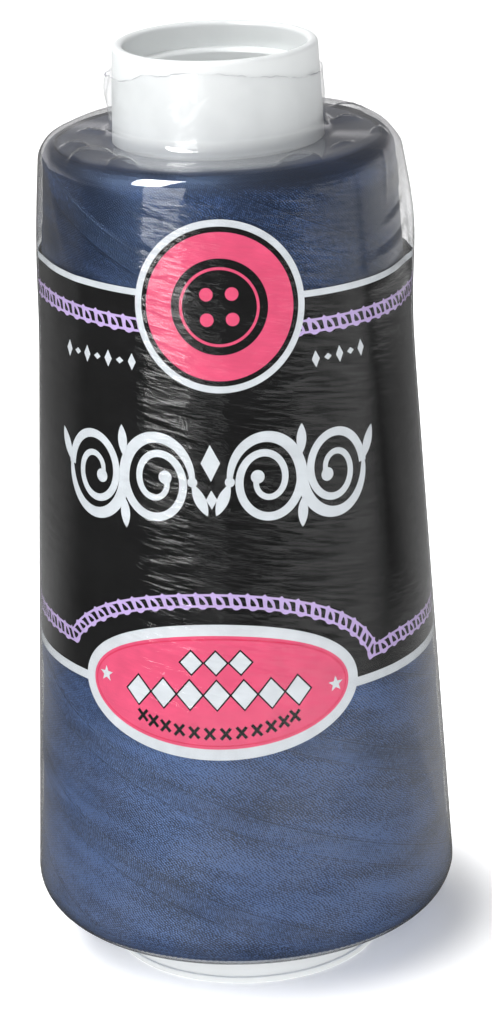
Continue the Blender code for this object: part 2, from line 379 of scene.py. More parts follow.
def side_lift(angle, z):
    """How far the film stands off the straight side: its creases and a long, low waviness."""
    turn = math.radians(angle)
    height = z / MM
    lift = 0.035 * math.sin(3 * turn + 0.05 * height) + 0.03 * math.sin(5 * turn - 0.08 * height + 1.3)
    return (lift + creased(SIDE_CREASES, angle, z, side_radius(z))) * MM


def on_film(angle, z, depth):
    """The place of a layer at a depth under the film's outer face, on the side."""
    return on_cone(angle, side_radius(z) + side_lift(angle, z) - depth, z)


# ---- making and finishing a piece ----

def turned(section, columns, closed):
    """A bmesh of the (r, z) section spun once round the Z axis."""
    bm = bmesh.new()
    points = [bm.verts.new((0.0, -r, z)) for r, z in section]
    pairs = list(zip(points, points[1:]))
    if closed:
        pairs.append((points[-1], points[0]))
    edges = [bm.edges.new(pair) for pair in pairs]
    bmesh.ops.spin(
        bm,
        geom=points + edges,
        cent=(0, 0, 0),
        axis=(0, 0, 1),
        angle=math.tau,
        steps=columns,
        use_merge=True,
    )
    bmesh.ops.remove_doubles(bm, verts=bm.verts, dist=0.001 * MM)
    bmesh.ops.recalc_face_normals(bm, faces=bm.faces)
    face_outwards(bm)
    return bm


def looks_in(face):
    """Whether a face looks towards the axis."""
    return face.normal.xy.dot(face.calc_center_median().xy) < 0


def face_outwards(bm):
    """Turns a round sheet so that its widest face looks away from the axis."""
    bm.normal_update()
    if looks_in(max(bm.faces, key=lambda f: f.calc_center_median().xy.length)):
        bmesh.ops.reverse_faces(bm, faces=bm.faces)
    bm.normal_update()


def turn_outwards(bm):
    """Turns each face of the single shapes round the cone to look away from the axis."""
    bm.normal_update()
    bmesh.ops.reverse_faces(bm, faces=[face for face in bm.faces if looks_in(face)])


def finish(name, bm, material, sharp=None, wall=None):
    """Makes the piece's object, which rides on the part's one body."""
    for edge in bm.edges:
        edge.smooth = not edge.is_boundary
    mesh = bpy.data.meshes.new(name)
    bm.to_mesh(mesh)
    bm.free()
    mesh.shade_smooth()
    if sharp:
        mesh.set_sharp_from_angle(angle=math.radians(sharp))
    piece = bpy.data.objects.new(name, mesh)
    bpy.context.scene.collection.objects.link(piece)
    piece.data.materials.append(material)
    if wall:
        thick = piece.modifiers.new("wall", "SOLIDIFY")
        thick.thickness = wall
        thick.offset = -1.0
    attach(piece, "root")
    return piece


# ---- finishes ----

class Nodes:
    """A node tree, with short names for the nodes that the finishes are made of."""

    def __init__(self, tree):
        self.nodes = tree.nodes
        self.links = tree.links

    def feed(self, node, inputs):
        """Sets a node's inputs, or links them where the value is another node's output."""
        for name, value in inputs.items():
            if isinstance(value, bpy.types.NodeSocket):
                self.links.new(value, node.inputs[name])
            else:
                node.inputs[name].default_value = value

    def add(self, kind, inputs=None, **settings):
        node = self.nodes.new("ShaderNode" + kind)
        for name, value in settings.items():
            setattr(node, name, value)
        self.feed(node, inputs or {})
        return node

    def place(self):
        return self.add("TexCoord").outputs["Object"]

    def split(self, vector):
        return self.add("SeparateXYZ", {0: vector}).outputs

    def maths(self, operation, *values, clamp=False):
        return self.add("Math", dict(enumerate(values)), operation=operation, use_clamp=clamp).outputs[0]

    def plus(self, first, second):
        return self.maths("ADD", first, second)

    def minus(self, first, second):
        return self.maths("SUBTRACT", first, second)

    def times(self, first, second, clamp=False):
        return self.maths("MULTIPLY", first, second, clamp=clamp)

    def larger(self, first, second):
        return self.maths("MAXIMUM", first, second)

    def slope(self, value, start, end):
        """0 before the start and 1 past the end, with a soft rise between them."""
        inputs = {"Value": value, "From Min": start, "From Max": end}
        return self.add("MapRange", inputs, interpolation_type="SMOOTHSTEP").outputs["Result"]

    def noise(self, vector, scale, detail=3.0, roughness=0.5):
        inputs = {"Vector": vector, "Scale": scale, "Detail": detail, "Roughness": roughness}
        return self.add("TexNoise", inputs).outputs["Fac"]

    def drawn_out(self, place, lean, along, across):
        """Places stretched so that a noise runs in streaks, this long and high, at a lean to the right."""
        turn = (0.0, math.radians(lean), 0.0)
        inputs = {"Vector": place, "Rotation": turn, "Scale": (along, along, across)}
        return self.add("Mapping", inputs, vector_type="TEXTURE").outputs["Vector"]

    def ramp(self, value, stops):
        """Colours or greys blended between the stops (position, colour)."""
        node = self.add("ValToRGB", {"Fac": value})
        for element, (position, colour) in zip(node.color_ramp.elements, stops):
            element.position = position
            element.color = (*colour, 1.0)
        for position, colour in stops[2:]:
            node.color_ramp.elements.new(position).color = (*colour, 1.0)
        return node.outputs["Color"]

    def bump(self, height, distance, strength=1.0):
        inputs = {"Height": height, "Distance": distance, "Strength": strength}
        return self.add("Bump", inputs).outputs["Normal"]

    def blend(self, share, first, second):
        return self.add("MixShader", {"Fac": share, 1: first, 2: second}).outputs[0]

    def surface(self, shader):
        self.feed(self.nodes["Material Output"], {"Surface": shader})


def new_finish(name):
    """A new material, its nodes, and its one shader."""
    material = bpy.data.materials.new(name)
    material.use_nodes = True
    return material, Nodes(material.node_tree), material.node_tree.nodes["Principled BSDF"]


def moulded_plastic():
    """White polypropylene: satin, with faint flow marks."""
    material, nodes, shader = new_finish("moulded_plastic")
    place = nodes.place()
    marks = nodes.noise(place, 90.0, 4.0)
    grain = nodes.noise(place, 2600.0, 2.0)
    nodes.feed(shader, {
        "Base Color": nodes.ramp(marks, [(0.3, (0.745, 0.77, 0.77)), (0.7, (0.80, 0.82, 0.82))]),
        "Normal": nodes.bump(grain, 0.02 * MM, 0.4),
        "Roughness": 0.36,
    })
    return material


def spun_thread():
    """Navy spun polyester: dark fibres, a painted glint on every turn of the twist, painted shade between the
    turns, and a blue shine.
    """
    material, nodes, shader = new_finish("spun_thread")
    place = nodes.place()
    along_thread = nodes.add("TexCoord").outputs["UV"]
    wave = (math.tau / TWIST, math.tau * TWIST_SLANT, 0.0)
    phase = nodes.add("VectorMath", operation="DOT_PRODUCT")
    nodes.feed(phase, {0: along_thread, 1: wave})
    loose = nodes.noise(place, 3200.0, 2.0)
    twist = nodes.maths("SINE", nodes.plus(phase.outputs["Value"], nodes.times(loose, TWIST_WANDER)))
    shade = nodes.noise(nodes.drawn_out(place, *THREAD_STREAKS), 1.0, 3.0)
    # Painted glints and shade: the colour is lighter at each turn of the twist, and darker towards the sides
    # of each turn
    aside = nodes.times(nodes.split(along_thread)["Y"], 4.0)
    gap_shade = nodes.maths("MINIMUM", nodes.times(aside, aside), 1.6)
    marks = nodes.times(nodes.minus(twist, gap_shade), PAINTED_GLINT_AND_SHADE)
    light = nodes.plus(marks, nodes.times(nodes.plus(loose, shade), THREAD_UNEVEN))
    height = nodes.split(place)["Z"]
    # A change of tone in the winding low down, then painted shade on the upper side and under the shoulder's
    # round
    for low, high, darker in TURN_TONE_AND_PAINTED_SHADE:
        light = nodes.minus(light, nodes.times(nodes.slope(height, low, high), darker))
    nodes.feed(shader, {
        "Base Color": nodes.ramp(light, THREAD_COLOURS),
        "Normal": nodes.bump(twist, 0.012 * MM),
        "Roughness": 0.4,
        "Specular IOR Level": 1.0,
        "Specular Tint": (0.38, 0.58, 1.0, 1.0),
    })
    return material


def ink(name, colour, roughness=0.5):
    """One colour of print, a little uneven in its density."""
    material, nodes, shader = new_finish(name)
    density = nodes.noise(nodes.place(), 420.0, 3.0)
    thin = tuple(min(1.0, c * (1.0 + INK_UNEVEN) + INK_UNEVEN * 0.02) for c in colour)
    full = tuple(c * (1.0 - INK_UNEVEN) for c in colour)
    nodes.feed(shader, {
        "Base Color": nodes.ramp(density, [(0.3, full), (0.7, thin)]),
        "Roughness": roughness,
        "Specular IOR Level": 0.05,
    })
    return material


def film_slack(nodes, place):
    """How slack the film is, from 0 to 1: it is drawn tight at the top, at the sides and low down."""
    split = nodes.split(place)
    top = nodes.slope(split["Z"], *TIGHT_ABOVE)
    sides = nodes.slope(nodes.maths("ABSOLUTE", split["X"]), *TIGHT_ASIDE)
    low = nodes.minus(0.75, nodes.slope(split["Z"], *TIGHT_BELOW))
    calm = nodes.larger(nodes.larger(top, nodes.times(sides, 0.8)), low)
    return nodes.minus(1.0, nodes.times(calm, 0.96))


def clear_film():
    """Clear shrunk film: a sharp gloss that grows towards its edges, rippled where slack, and a haze."""
    material, nodes, shader = new_finish("clear_film")
    nodes.nodes.remove(shader)
    place = nodes.place()
    slack = film_slack(nodes, place)
    wrinkles = nodes.noise(place, 110.0, 2.0)
    turns = nodes.noise(nodes.drawn_out(place, *FINE_STREAKS), 1.0, 3.0, 0.6)
    broad = nodes.noise(nodes.drawn_out(place, *BROAD_STREAKS), 1.0, 2.0)
    streaks = nodes.plus(broad, nodes.times(nodes.plus(turns, wrinkles), 0.25))
    normal = nodes.bump(nodes.times(streaks, slack), FILM_RIPPLE)
    gloss = nodes.add("BsdfGlossy", {"Roughness": 0.05, "Normal": normal})
    facing = nodes.add("LayerWeight", {"Blend": 0.5, "Normal": normal})
    edge = nodes.maths("POWER", facing.outputs["Facing"], FILM_EDGE_POWER)
    mirrored = nodes.maths("MULTIPLY_ADD", edge, 1.0 - FILM_HEAD_ON, FILM_HEAD_ON)
    grain = nodes.ramp(turns, [(0.36, (0.25,) * 3), (0.62, (1.0,) * 3)])
    clean = nodes.minus(1.0, nodes.times(nodes.minus(1.0, grain), slack))
    on_neck = nodes.times(nodes.slope(nodes.split(place)["Z"], *DULL_ABOVE), NECK_DULLNESS)
    clean = nodes.times(clean, nodes.minus(1.0, on_neck))
    clear = nodes.add("BsdfTransparent").outputs[0]
    shine = nodes.blend(nodes.times(mirrored, clean, clamp=True), clear, gloss.outputs[0])
    haze = nodes.add("Attribute", attribute_name="haze").outputs["Fac"]
    cloud = nodes.ramp(nodes.noise(place, 160.0, 2.0), [(0.35, (0.6,) * 3), (0.65, (1.2,) * 3)])
    milk = nodes.add("BsdfDiffuse", {"Color": (0.82, 0.84, 0.86, 1.0)})
    nodes.surface(nodes.blend(nodes.times(haze, cloud, clamp=True), shine, milk.outputs[0]))
    return material


# ---- the tube ----

def tube_section():
    """The tube's section (r, z), from the foot up the outside, over the rim and down the bore."""
    def bore(z):
        return tube_radius(z) - WALL

    ledge_top = TUBE_HEIGHT - LEDGE_DEPTH
    ledge_bottom = ledge_top - LEDGE_SLOPE
    lip = tube_radius(0.0)
    above_lip = tube_radius(FOOT_LIP_HEIGHT) - FOOT_LIP_STEP
    rim_z = TUBE_HEIGHT - RIM_ROUND
    small = 0.25 * MM
    return [
        (bore(0.0) + FOOT_LIP_STEP, 0.0),
        *arc(lip - small, small, small, small, -90, 0, 4),
        *arc(lip - FOOT_LIP_STEP, FOOT_LIP_HEIGHT - FOOT_LIP_STEP, FOOT_LIP_STEP, FOOT_LIP_STEP, 0, 60, 4),
        (above_lip, FOOT_LIP_HEIGHT),
        *[(tube_radius(z), z) for z in between(2.0 * MM, rim_z, 24)],
        *arc(tube_radius(rim_z) - RIM_ROUND, rim_z, RIM_ROUND, RIM_ROUND, 0, 90, 8),
        *arc(bore(rim_z) + RIM_ROUND, rim_z, RIM_ROUND, RIM_ROUND, 90, 180, 8),
        (bore(ledge_top), ledge_top),
        *arc(bore(ledge_top) - LEDGE_STEP, ledge_bottom, LEDGE_STEP, LEDGE_SLOPE, 90, 180, 4),
        *[(bore(z), z) for z in between(ledge_bottom - 1.0 * MM, FOOT_LIP_HEIGHT, 10)],
        (bore(FOOT_LIP_HEIGHT), FOOT_LIP_HEIGHT),
    ]


def make_tube(plastic):
    bm = turned(tube_section(), TUBE_COLUMNS, closed=True)
    tube = finish("cone_tube", bm, plastic, sharp=40)
    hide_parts("core")


# ---- the wound thread ----

def wound_outline(depth):
    """The thread's outer line (r, z) at a depth under the film, from the bore below to the bore above."""
    low_round = LOWER_ROUND - 0.6 * depth
    bottom_round = SIDE_LOW - UNDERSIDE - 0.6 * depth
    centre = SIDE_LOW_RADIUS - LOWER_ROUND
    top = PACKAGE_TOP + 0.5 * MM - UPPER_ROUND
    lower = arc(centre, SIDE_LOW, low_round, bottom_round, -90, 0, 10)
    side = [(side_radius(z) - depth, z) for z in between(SIDE_LOW, top, 48)]
    upper = arc(side_radius(top) - depth - UPPER_ROUND, top, UPPER_ROUND, UPPER_ROUND, 0, 90, 8)
    return [*lower, *side, *upper]


def make_package(thread):
    """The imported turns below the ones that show, as one smooth ring."""
    depth = UNDER_FILM + BAND_RELIEF + THREAD_RIDGE
    outline = wound_outline(depth)
    low_bore = (tube_radius(PACKAGE_BOTTOM) + BORE_GAP, PACKAGE_BOTTOM)
    high_bore = (tube_radius(PACKAGE_TOP) + BORE_GAP, outline[-1][1])
    bm = turned([*outline, high_bore, low_bore], 160, closed=True)
    package = finish("wound_package", bm, thread, sharp=50)
    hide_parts("thread")


def banded(angle):
    """How much a turn that starts at an angle belongs to a band, where many of one hand run together."""
    return max(0.0, math.cos(BAND_STARTS * math.radians(angle))) ** 2


def crest_place(z, depth):
    """Radius and height of a turn at a depth under the film, for a height measured on the side carried on.

    Past the straight side the turns go round the package's edges, and closer to the film at the lower one."""
    depth *= 0.25 + 0.75 * soft_step(SIDE_LOW - 4 * MM, SIDE_LOW + 8 * MM, z)
    if z > SIDE_TOP:
        turn = (z - SIDE_TOP) / UPPER_ROUND
        radius = side_radius(SIDE_TOP) - UPPER_ROUND + (UPPER_ROUND - depth) * math.cos(turn)
        return radius, SIDE_TOP + (UPPER_ROUND - depth) * math.sin(turn)
    if z >= SIDE_LOW:
        return side_radius(z) - depth, z
    round_z = SIDE_LOW - UNDERSIDE - depth
    turn = min(math.pi / 2, (SIDE_LOW - z) / round_z)
    radius = SIDE_LOW_RADIUS - LOWER_ROUND + (LOWER_ROUND - depth) * math.cos(turn)
    return radius, SIDE_LOW - round_z * math.sin(turn)


def strand(bm, layer, start_angle, hand, low, high):
    """One turn of thread from a height to another, as a low ridge along its helix on the side."""
    rise = high - low
    length = rise / math.sin(math.atan(RISE_PER_TURN / (math.tau * MEAN_RADIUS)))
    made = bmesh.ops.create_grid(bm, x_segments=round(length / THREAD_STEP), y_segments=2, size=0.5)
    covering = soft_step(0.35, 0.65, banded(start_angle))
    lift = 0.5 * BAND_RELIEF if hand > 0 else covering * BAND_RELIEF
    start = random.uniform(0.0, 10.0)
    for vert in made["verts"]:
        for corner in vert.link_loops:
            corner[layer].uv = (start + (vert.co.x + 0.5) * length / MM, hand * vert.co.y)
        z = low + rise * (vert.co.x + 0.5)
        across = vert.co.y * THREAD_PITCH * THREAD_LAP
        crest = THREAD_RIDGE if abs(vert.co.y) < 0.1 else 0.0
        angle = start_angle + hand * 360.0 * z / RISE_PER_TURN
        depth = UNDER_FILM + BAND_RELIEF + THREAD_RIDGE - lift - crest
        radius, height = crest_place(z + across, depth)
        vert.co = on_cone(angle, radius, height)


def make_turns(name, thread, low, high):
    """The turns between two heights, wound both ways over each other."""
    bm = bmesh.new()
    layer = bm.loops.layers.uv.new("turns")
    count = round(RISE_PER_TURN / (THREAD_PITCH * 1.05))
    for hand in (-1, 1):
        for i in range(count):
            strand(bm, layer, 360.0 * i / count, hand, low, high)
    bmesh.ops.recalc_face_normals(bm, faces=bm.faces)
    turn_outwards(bm)
    finish(name, bm, thread)


# ---- the print ----

def cut_every(bm, spacing):
    """Cuts a flat shape into upright strips, so that it bends smoothly round the cone."""
    reach = max(abs(v.co.x) for v in bm.verts)
    count = int(reach / spacing)
    for i in range(-count, count + 1):
        bmesh.ops.bisect_plane(
            bm,
            geom=bm.verts[:] + bm.edges[:] + bm.faces[:],
            dist=0.0001 * MM,
            plane_co=(i * spacing, 0, 0),
            plane_no=(1, 0, 0),
        )


def lay(bm, angle, z, depth):
    """Wraps a flat shape (x along the film, y up) round the cone, its origin at an angle and a height."""
    radius = side_radius(z)
    for vert in bm.verts:
        place = angle + math.degrees(vert.co.x / radius)
        vert.co = on_film(place, z + vert.co.y, depth)
    turn_outwards(bm)


def oval(half_width, half_height, x=0.0, y=0.0, segments=96):
    """A filled flat oval about a place."""
    bm = bmesh.new()
    bmesh.ops.create_circle(bm, cap_ends=True, segments=segments, radius=1.0)
    bmesh.ops.scale(bm, vec=(half_width, half_height, 1.0), verts=bm.verts)
    bmesh.ops.translate(bm, vec=(x, y, 0.0), verts=bm.verts)
    return bm


def join(parts):
    """Puts flat shapes together in one bmesh."""
    whole = bmesh.new()
    for part in parts:
        mesh = bpy.data.meshes.new("part")
        part.to_mesh(mesh)
        part.free()
        whole.from_mesh(mesh)
        bpy.data.meshes.remove(mesh)
    return whole


def ribbon(path, width, steps):
    """A flat stroke along path(t), with its full width from width(t), for t from 0 to 1."""
    bm = bmesh.new()
    made = bmesh.ops.create_grid(bm, x_segments=steps, y_segments=1, size=0.5)
    for vert in made["verts"]:
        t = vert.co.x + 0.5
        here = Vector(path(t))
        ahead = Vector(path(t + 0.001)) - Vector(path(t - 0.001))
        side = Vector((-ahead.y, ahead.x)).normalized()
        spot = here + side * (vert.co.y * width(t))
        vert.co = (spot.x, spot.y, 0.0)
    return bm


def print_piece(name, bm, material, angle, z, depth, cut=True):
    """Prints a flat shape on the cone; a wide one is cut first, so that it bends."""
    if cut:
        cut_every(bm, CUT)
    lay(bm, angle, z, depth)
    finish(name, bm, material, wall=INK)


def band_piece(name, material, low, high, rows, depth):
    """Prints a strip right round the cone, between two heights that depend on the angle."""
    bm = bmesh.new()
    bmesh.ops.create_grid(bm, x_segments=FILM_COLUMNS, y_segments=rows, size=0.5)
    for vert in bm.verts:
        angle = vert.co.x * 360.0
        z = low(angle) + (high(angle) - low(angle)) * (vert.co.y + 0.5)
        vert.co = on_film(angle, z, depth)
    bmesh.ops.remove_doubles(bm, verts=bm.verts, dist=0.002 * MM)
    bmesh.ops.recalc_face_normals(bm, faces=bm.faces)
    face_outwards(bm)
    finish(name, bm, material, wall=INK)


def band_low(angle):
    return BAND_LOW - BAND_LOW_LEAN * math.sin(math.radians(angle))


def band_high(angle):
    return BAND_HIGH - BAND_HIGH_LEAN * math.sin(math.radians(angle))


def edge_line(name, white, middle, width):
    """Prints a white line along an edge of the band, given as a function of the angle."""
    half = width / 2
    band_piece(name, white, lambda a: middle(a) - half, lambda a: middle(a) + half, 1, DEPTH_STITCH)


def make_band(black, white):
    """The black band with its white edge lines."""
    band_piece("black_band", black, band_low, band_high, BAND_ROWS, DEPTH_BAND)
    edge_line("lower_edge_line", white, band_low, BAND_LOW_LINE)
    edge_line("upper_edge_line", white, band_high, BAND_HIGH_LINE)


def make_badge(white, black, pink):
    """The round badge: white and black rings, a pink field, and a plain four-hole button."""
    rounds = [
        ("badge_ring", BADGE_WHITE, white, DEPTH_WHITE),
        ("badge_line", BADGE_BLACK, black, DEPTH_RING),
        ("badge_field", BADGE_PINK, pink, DEPTH_LINE),
        ("badge_button", BUTTON, black, DEPTH_FIELD),
    ]
    for name, radius, material, depth in rounds:
        print_piece(name, oval(radius, radius), material, BADGE_ANGLE, BADGE_HEIGHT, depth)
    groove = ribbon(
        lambda t: (BUTTON_GROOVE * math.cos(math.tau * t), BUTTON_GROOVE * math.sin(math.tau * t)),
        lambda t: BUTTON_GROOVE_WIDTH,
        72,
    )
    holes = [
        oval(BUTTON_HOLE, BUTTON_HOLE, x * BUTTON_HOLE_OUT, y * BUTTON_HOLE_OUT, 24)
        for x in (-1, 1) for y in (-1, 1)
    ]
    print_piece("badge_holes", join([groove, *holes]), pink, BADGE_ANGLE, BADGE_HEIGHT, DEPTH_MARK)


def lozenge(x, y, half_width, half_height):
    return oval(half_width, half_height, x, y, 4)


def make_plaque(white, black, pink, deep_pink):
    """The oval plaque: a white border, a pink field with a fine line, and rows of lozenges."""
    ovals = [
        ("plaque_border", PLAQUE_WHITE, white, DEPTH_WHITE),
        ("plaque_edge", PLAQUE_PINK, pink, DEPTH_RING),
        ("plaque_line", PLAQUE_LINE, deep_pink, DEPTH_LINE),
        ("plaque_field", PLAQUE_FIELD, pink, DEPTH_FIELD),
    ]
    for name, half_sizes, material, depth in ovals:
        print_piece(name, oval(*half_sizes), material, PLAQUE_ANGLE, PLAQUE_HEIGHT, depth)
    dark = []
    light = []
    for left, step, count, y, half_width, half_height in LOZENGE_ROWS:
        for i in range(count):
            x = left + step * i
            wide, tall = half_width + LOZENGE_EDGE, half_height + LOZENGE_EDGE
            dark.append(lozenge(x * MM, y * MM, wide * MM, tall * MM))
            light.append(lozenge(x * MM, y * MM, half_width * MM, half_height * MM))
    stars = [star(x * MM, y * MM, STAR_REACH * MM) for x, y in STARS]
    marks = [
        ("plaque_lozenge_edges", dark, black, DEPTH_MARK),
        ("plaque_lozenges", light + stars, white, DEPTH_MARK - LAYER / 2),
        ("plaque_crosses", cross_stitches(), black, DEPTH_MARK),
    ]
    for name, shapes, material, depth in marks:
        print_piece(name, join(shapes), material, PLAQUE_ANGLE, PLAQUE_HEIGHT, depth, cut=False)


def cross_stitches():
    """A row of small crosses along the lower part of the plaque's oval."""
    count, first, step, half_width, half_height = CROSSES
    strokes = []
    for i in range(count):
        turn = math.radians(first + step * i)
        x = half_width * MM * math.cos(turn)
        y = half_height * MM * math.sin(turn)
        for lean in (-40.0, 40.0):
            strokes.append(stroke(x, y, lean, CROSS_LENGTH, CROSS_WIDTH))
    return strokes


def star(x, y, size):
    """A five-pointed star, one point up."""
    bm = bmesh.new()
    verts = []
    for i in range(10):
        reach = size if i % 2 == 0 else size * STAR_WAIST
        turn = math.radians(90.0 + 36.0 * i)
        verts.append(bm.verts.new((x + reach * math.cos(turn), y + reach * math.sin(turn), 0.0)))
    bm.faces.new(verts)
    return bm


def stroke(x, y, lean, length, width):
    """A short straight stroke about a place, leaning from upright in degrees."""
    turn = math.radians(lean)
    return ribbon(
        lambda t: (x + length * (t - 0.5) * math.sin(turn), y + length * (t - 0.5) * math.cos(turn)),
        lambda t: width,
        3,
    )


def scroll(bend, turn, size):
    """A flat place on a scroll: its bend counted from the middle, a turn in degrees, 1 for full size."""
    up = 1 if bend % 2 == 0 else -1
    middle = SCROLL_START + SCROLL_HALF_WIDTH * (2 * bend + 1)
    x = middle + SCROLL_HALF_WIDTH * size * math.cos(math.radians(turn))
    return x, up * SCROLL_HALF_HEIGHT * size * math.sin(math.radians(turn))


def stem_place(t):
    """The waving stem: over the first scroll and under the next."""
    bend = min(SCROLLS - 1, max(0, math.floor(t * SCROLLS)))
    return scroll(bend, 180.0 - 180.0 * (t * SCROLLS - bend), 1.0)


def curl_place(bend, t):
    """The curl that leaves the stem and winds into a bend."""
    return scroll(bend, -CURL_TURN * t, 0.97 - 0.71 * t)


def leaf(x, y, lean, length, width):
    """A pointed leaf from a place, leaning from upright in degrees."""
    turn = math.radians(lean)
    return ribbon(
        lambda t: (x + length * t * math.sin(turn), y + length * t * math.cos(turn)),
        lambda t: width * bulge(t) ** 0.8 + 0.02 * MM,
        10,
    )


def bulge(t):
    """0 at both ends of a stroke, and 1 in the middle."""
    return math.sin(math.pi * min(1.0, max(0.0, t)))


def mirrored(bm):
    """The flat shape together with its own mirror image to the left."""
    twin = bm.copy()
    bmesh.ops.scale(twin, vec=(-1.0, 1.0, 1.0), verts=twin.verts)
    bmesh.ops.reverse_faces(twin, faces=twin.faces)
    return join([bm, twin])


def make_scrollwork(white):
    """White scrollwork across the band: a waving stem with a curl in each bend, the same to both sides."""
    stem = ribbon(stem_place, lambda t: (0.5 + bulge(t) ** 0.5) * MM, 96)
    curls = []
    tips = []
    for bend in range(SCROLLS):
        curls.append(ribbon(lambda t, bend=bend: curl_place(bend, t), lambda t: (1.15 - 0.5 * t) * MM, 72))
        x, y = curl_place(bend, 1.0)
        tips.append(oval(CURL_TIP, CURL_TIP, x, y, 24))
    node = SCROLL_START + 2 * SCROLL_HALF_WIDTH
    end = SCROLL_START + 2 * SCROLLS * SCROLL_HALF_WIDTH
    places = [(node, NODE_LEAVES[0]), (node, NODE_LEAVES[1]), (end, END_LEAF), (SCROLL_START, MIDDLE_LEAF)]
    leaves = [leaf(x, up * MM, lean, long * MM, wide * MM) for x, (up, lean, long, wide) in places]
    leaves.append(oval(MIDDLE_DOT, MIDDLE_DOT, SCROLL_START, 0.0, 24))
    middle = [lozenge(0.0, up * MM, wide * MM, tall * MM) for up, wide, tall in MIDDLE_LOZENGES]
    shapes = [
        ("scroll_stem", mirrored(stem), DEPTH_STITCH),
        ("scroll_curls", mirrored(join(curls)), DEPTH_WINDOW),
        ("scroll_leaves", mirrored(join(leaves + tips)), DEPTH_WHITE),
        ("scroll_middle", join(middle), DEPTH_STITCH),
    ]
    for name, shape, depth in shapes:
        print_piece(name, shape, white, SCROLL_ANGLE, SCROLL_HEIGHT, depth, cut=False)


def make_small_rows(white):
    """Rows of small lozenges and dots, high on the band to each side of the badge."""
    for name, angle, z, count in SMALL_ROWS:
        shapes = []
        for i in range(count):
            x = (i - (count - 1) / 2) * SMALL_STEP
            shapes.append(lozenge(x, 0.0, SMALL_HALF_WIDTH, SMALL_HALF_HEIGHTS[i % 2]))
        print_piece(name, join(shapes), white, angle, z, DEPTH_STITCH, cut=False)


# ---- the stitched borders ----

def leaning(z, angle):
    """A border's height at an angle: it dips a little from the left to the right."""
    return z - BORDER_LEAN * math.sin(math.radians(angle))


def border_points(start, end, steps, radius, height):
    """Points of a border between two angles, in metres round the film and up, by its height(angle)."""
    angles = [start + (end - start) * i / steps for i in range(steps + 1)]
    return [(math.radians(a) * radius, height(a)) for a in angles]


def upper_run():
    """The upper border, once round from the back."""
    radius = side_radius(UPPER_BORDER)
    return border_points(-180.0, 180.0, 600, radius, lambda a: leaning(UPPER_BORDER, a))


def lower_run():
    """The lower border, once round from the back: level, over the plaque in an arch, and level again."""
    radius = side_radius(LOWER_BORDER)
    left, right = [math.radians(a) * radius for a in ARCH_CORNERS]
    steps = 400
    arch = []
    for i in range(1, steps):
        x = left + (right - left) * (0.5 - 0.5 * math.cos(math.pi * i / steps))
        arch.append((x, arch_height(math.degrees(x / radius))))
    before = border_points(-180.0, ARCH_CORNERS[0], steps, radius, level_height)
    after = border_points(ARCH_CORNERS[1], 180.0, steps, radius, level_height)
    return [*before, *arch, *after]


def arch_height(angle):
    """The arch's height: the upper part of an oval about the plaque."""
    share = math.radians(angle - ARCH_ANGLE) * side_radius(LOWER_BORDER) / ARCH_HALF_WIDTH
    return ARCH_HEIGHT + ARCH_HALF_HEIGHT * math.sqrt(1.0 - share * share)


def level_height(angle):
    """The lower border's height away from the arch, drawn to the arch's ends near its corners."""
    height = leaning(LOWER_BORDER, angle)
    for corner in ARCH_CORNERS:
        height += near(angle, corner, CORNER_SPREAD) * (arch_height(corner) - leaning(LOWER_BORDER, corner))
    return height


def along_border(points, radius):
    """A function of the distance along a border and the way across it, and the border's length.

    Near a sharp corner the way across turns bit by bit into the corner's mitre: the edges stay straight."""
    lengths = [0.0]
    normals = []
    for (x0, y0), (x1, y1) in zip(points, points[1:]):
        step = math.hypot(x1 - x0, y1 - y0)
        lengths.append(lengths[-1] + step)
        normals.append(Vector((-(y1 - y0) / step, (x1 - x0) / step)))
    corners = []
    for i in range(1, len(normals)):
        if normals[i - 1].dot(normals[i]) < 0.97:
            both = normals[i - 1] + normals[i]
            corners.append((lengths[i], both / (1.0 + normals[i - 1].dot(normals[i]))))

    def place(s, t):
        i = min(len(normals) - 1, max(0, bisect.bisect_right(lengths, s) - 1))
        ahead = (s - lengths[i]) / (lengths[i + 1] - lengths[i])
        across = normals[i].copy()
        for where, mitre in corners:
            share = max(0.0, 1.0 - abs(s - where) / MITRE_REACH)
            across += (mitre - across) * share
        x = points[i][0] + (points[i + 1][0] - points[i][0]) * ahead + across.x * t
        y = points[i][1] + (points[i + 1][1] - points[i][1]) * ahead + across.y * t
        return math.degrees(x / radius), y

    return place, lengths[-1]


def border(path, pitch, count, depth):
    """A bmesh of a border's ground: a ribbon with small points above and round scallops below each stitch."""
    bm = bmesh.new()
    bmesh.ops.create_grid(bm, x_segments=count * STITCH_COLUMNS, y_segments=1, size=0.5)
    for vert in bm.verts:
        s = (vert.co.x + 0.5) * pitch * count
        phase = (s / pitch) % 1.0
        point = max(0.0, 1.0 - abs(phase - POINT_PLACE) * 7.0) * POINT_RISE
        scallop = SCALLOP_DROP * max(0.0, math.cos(math.tau * (phase - SCALLOP_PLACE) * 0.95)) ** 0.7
        t = STITCH_HALF + point if vert.co.y > 0 else -STITCH_HALF - scallop
        angle, z = path(s, t)
        vert.co = on_film(angle, z, depth)
    return bm


def windows(path, pitch, count, depth):
    """The black gaps between the stitches: a small one like a triangle and a larger, upright one at each."""
    bm = bmesh.new()
    for i in range(count):
        for shape in (SMALL_WINDOW, LARGE_WINDOW):
            verts = []
            for x, y in shape:
                angle, z = path((i + x) * pitch, y * MM)
                verts.append(bm.verts.new(on_film(angle, z, depth)))
            bm.faces.new(verts)
    return bm


